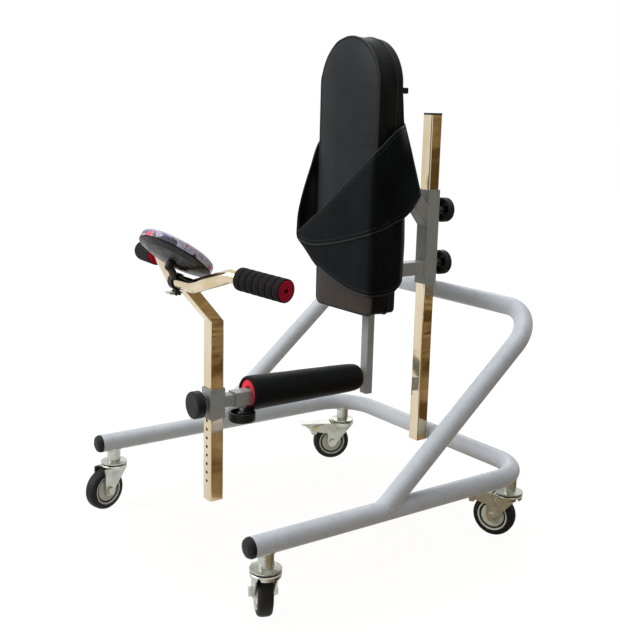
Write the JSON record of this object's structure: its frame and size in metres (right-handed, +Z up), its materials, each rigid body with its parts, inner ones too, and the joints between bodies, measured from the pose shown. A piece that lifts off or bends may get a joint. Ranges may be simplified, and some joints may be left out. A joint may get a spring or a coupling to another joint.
{
  "type": "gait trainer",
  "caption": "Child's gait trainer: castor frame with a padded backrest and belt on a mast, a roller between the legs and a sliding handlebar post with a play disc.",
  "frame": {"origin": "on the floor under the middle of the object's bounds", "axes": "+Z up, -Y to the front where the handlebar is, +X to the child's left"},
  "size_m": [0.5774, 0.6266, 0.857],
  "materials": {
    "frame_paint": "satin silver-grey powder coat",
    "carriage_paint": "satin grey powder coat",
    "polished_steel": "polished chrome",
    "zinc": "zinc plated",
    "brass_pin": "yellow passivated",
    "black_plastic": "moulded black plastic",
    "tyre_rubber": "black rubber",
    "wheel_plastic": "pale moulded wheel centre",
    "black_leather": "black artificial leather",
    "cushion_cover": "black artificial leather over foam",
    "board": "plywood painted black",
    "webbing": "woven black webbing",
    "red_foam": "red foam",
    "grip_foam": "black foam",
    "disc_cover": "pale plastic, slightly see-through",
    "disc_card": null
  },
  "bodies": {
    "frame": {"lower_frame_tube": "frame_paint", "upper_frame_tube": "frame_paint", "mast_tube": "polished_steel", "mast_cap": "black_plastic", "rail_end_plugs": "black_plastic", "castor_bosses": "frame_paint", "castor_stems": "zinc", "castor_balls": "zinc"},
    "castor_front_right": {"castor_fork_front_right": "zinc", "castor_axle_front_right": "zinc"},
    "wheel_front_right": {"wheel_front_right_tyre": "tyre_rubber", "wheel_front_right_core": "wheel_plastic"},
    "castor_front_left": {"castor_fork_front_left": "zinc", "castor_axle_front_left": "zinc"},
    "wheel_front_left": {"wheel_front_left_tyre": "tyre_rubber", "wheel_front_left_core": "wheel_plastic"},
    "castor_rear_right": {"castor_fork_rear_right": "zinc", "castor_axle_rear_right": "zinc"},
    "wheel_rear_right": {"wheel_rear_right_tyre": "tyre_rubber", "wheel_rear_right_core": "wheel_plastic"},
    "pedal_rear_right": {"brake_pedal_rear_right": "zinc"},
    "castor_rear_left": {"castor_fork_rear_left": "zinc", "castor_axle_rear_left": "zinc"},
    "wheel_rear_left": {"wheel_rear_left_tyre": "tyre_rubber", "wheel_rear_left_core": "wheel_plastic"},
    "pedal_rear_left": {"brake_pedal_rear_left": "zinc"},
    "carriage": {"carriage_sleeve": "carriage_paint", "sloping_brace": "carriage_paint", "lower_arm": "carriage_paint", "backbone_tube": "carriage_paint", "seat_arm_tube": "carriage_paint", "roller_cover": "black_leather", "roller_foam": "red_foam", "backrest_board": "board", "backrest_cushion": "cushion_cover", "backrest_screws": "zinc", "belt_near_wrap": "black_leather", "belt_far_wrap": "black_leather", "belt_back_band": "black_leather", "belt_hanger_bar": "black_plastic", "belt_straps": "webbing"},
    "front_arm": {"sliding_arm": "carriage_paint", "post_sleeve": "carriage_paint"},
    "post": {"handlebar_post": "polished_steel", "handlebar": "polished_steel", "handgrip_left": "grip_foam", "handgrip_right": "grip_foam"},
    "disc_bracket": {"play_disc_clamp": "black_plastic", "clamp_screw": "zinc"},
    "play_disc": {"play_disc_cover": "disc_cover", "play_disc_card": "disc_card", "play_disc_dish": "black_plastic"},
    "mast_knob_upper": {"mast_knob_upper_stud": "zinc", "mast_knob_upper_head": "black_plastic"},
    "mast_knob_lower": {"mast_knob_lower_stud": "zinc", "mast_knob_lower_head": "black_plastic"},
    "arm_knob": {"arm_knob_stud": "zinc", "arm_knob_head": "black_plastic"},
    "post_knob": {"post_knob_stud": "zinc", "post_knob_head": "black_plastic"}
  },
  "joints": [
    {"name": "castor_swivel_front_right", "type": "hinge", "parent": "frame", "child": "castor_front_right", "pos_m": [-0.26, -0.253, 0.08], "axis": [0, 0, 1], "continuous": true},
    {"name": "wheel_spin_front_right", "type": "hinge", "parent": "castor_front_right", "child": "wheel_front_right", "pos_m": [-0.25339, -0.27607, 0.0375], "axis": [0.9613, 0.2756, 0], "continuous": true},
    {"name": "castor_swivel_front_left", "type": "hinge", "parent": "frame", "child": "castor_front_left", "pos_m": [0.26, -0.253, 0.08], "axis": [0, 0, 1], "continuous": true},
    {"name": "wheel_spin_front_left", "type": "hinge", "parent": "castor_front_left", "child": "wheel_front_left", "pos_m": [0.23825, -0.24286, 0.0375], "axis": [-0.4226, -0.9063, 0], "continuous": true},
    {"name": "castor_swivel_rear_right", "type": "hinge", "parent": "frame", "child": "castor_rear_right", "pos_m": [-0.24222, 0.26785, 0.08], "axis": [0, 0, 1], "continuous": true},
    {"name": "wheel_spin_rear_right", "type": "hinge", "parent": "castor_rear_right", "child": "wheel_rear_right", "pos_m": [-0.25236, 0.2461, 0.0375], "axis": [0.9063, -0.4226, 0], "continuous": true},
    {"name": "brake_pedal_hinge_rear_right", "type": "hinge", "parent": "castor_rear_right", "child": "pedal_rear_right", "pos_m": [-0.268, 0.21257, 0.069], "axis": [0.9063, -0.4226, 0], "range_deg": [0, 8]},
    {"name": "castor_swivel_rear_left", "type": "hinge", "parent": "frame", "child": "castor_rear_left", "pos_m": [0.24222, 0.26785, 0.08], "axis": [0, 0, 1], "continuous": true},
    {"name": "wheel_spin_rear_left", "type": "hinge", "parent": "castor_rear_left", "child": "wheel_rear_left", "pos_m": [0.22013, 0.25847, 0.0375], "axis": [0.3907, -0.9205, 0], "continuous": true},
    {"name": "brake_pedal_hinge_rear_left", "type": "hinge", "parent": "castor_rear_left", "child": "pedal_rear_left", "pos_m": [0.18607, 0.24402, 0.069], "axis": [0.3907, -0.9205, 0], "range_deg": [0, 8]},
    {"name": "carriage_height", "type": "slide", "parent": "frame", "child": "carriage", "axis": [0, 0, 1], "range_m": [-0.004, 0.13]},
    {"name": "arm_reach", "type": "slide", "parent": "carriage", "child": "front_arm", "axis": [0, -1, 0], "range_m": [-0.018, 0.1]},
    {"name": "post_height", "type": "slide", "parent": "front_arm", "child": "post", "axis": [0, 0, 1], "range_m": [-0.08, 0.12]},
    {"name": "disc_tilt", "type": "hinge", "parent": "post", "child": "disc_bracket", "pos_m": [-0.022, -0.246, 0.461], "axis": [1, 0, 0], "range_deg": [-4, 20]},
    {"name": "disc_turn", "type": "hinge", "parent": "disc_bracket", "child": "play_disc", "pos_m": [0.0036, -0.2625, 0.5053], "axis": [-0.1006, 0.5806, 0.808], "continuous": true},
    {"name": "mast_knob_upper_turn", "type": "hinge", "parent": "carriage", "child": "mast_knob_upper", "pos_m": [0, 0.2815, 0.5555], "axis": [0, 1, 0], "range_deg": [0, 720]},
    {"name": "mast_knob_lower_turn", "type": "hinge", "parent": "carriage", "child": "mast_knob_lower", "pos_m": [0, 0.2815, 0.4565], "axis": [0, 1, 0], "range_deg": [0, 720]},
    {"name": "arm_knob_turn", "type": "hinge", "parent": "carriage", "child": "arm_knob", "pos_m": [0, -0.135, 0.2445], "axis": [0, 0, -1], "range_deg": [0, 720]},
    {"name": "post_knob_turn", "type": "hinge", "parent": "front_arm", "child": "post_knob", "pos_m": [0, -0.2055, 0.257], "axis": [0, -1, 0], "range_deg": [0, 720]}
  ]
}
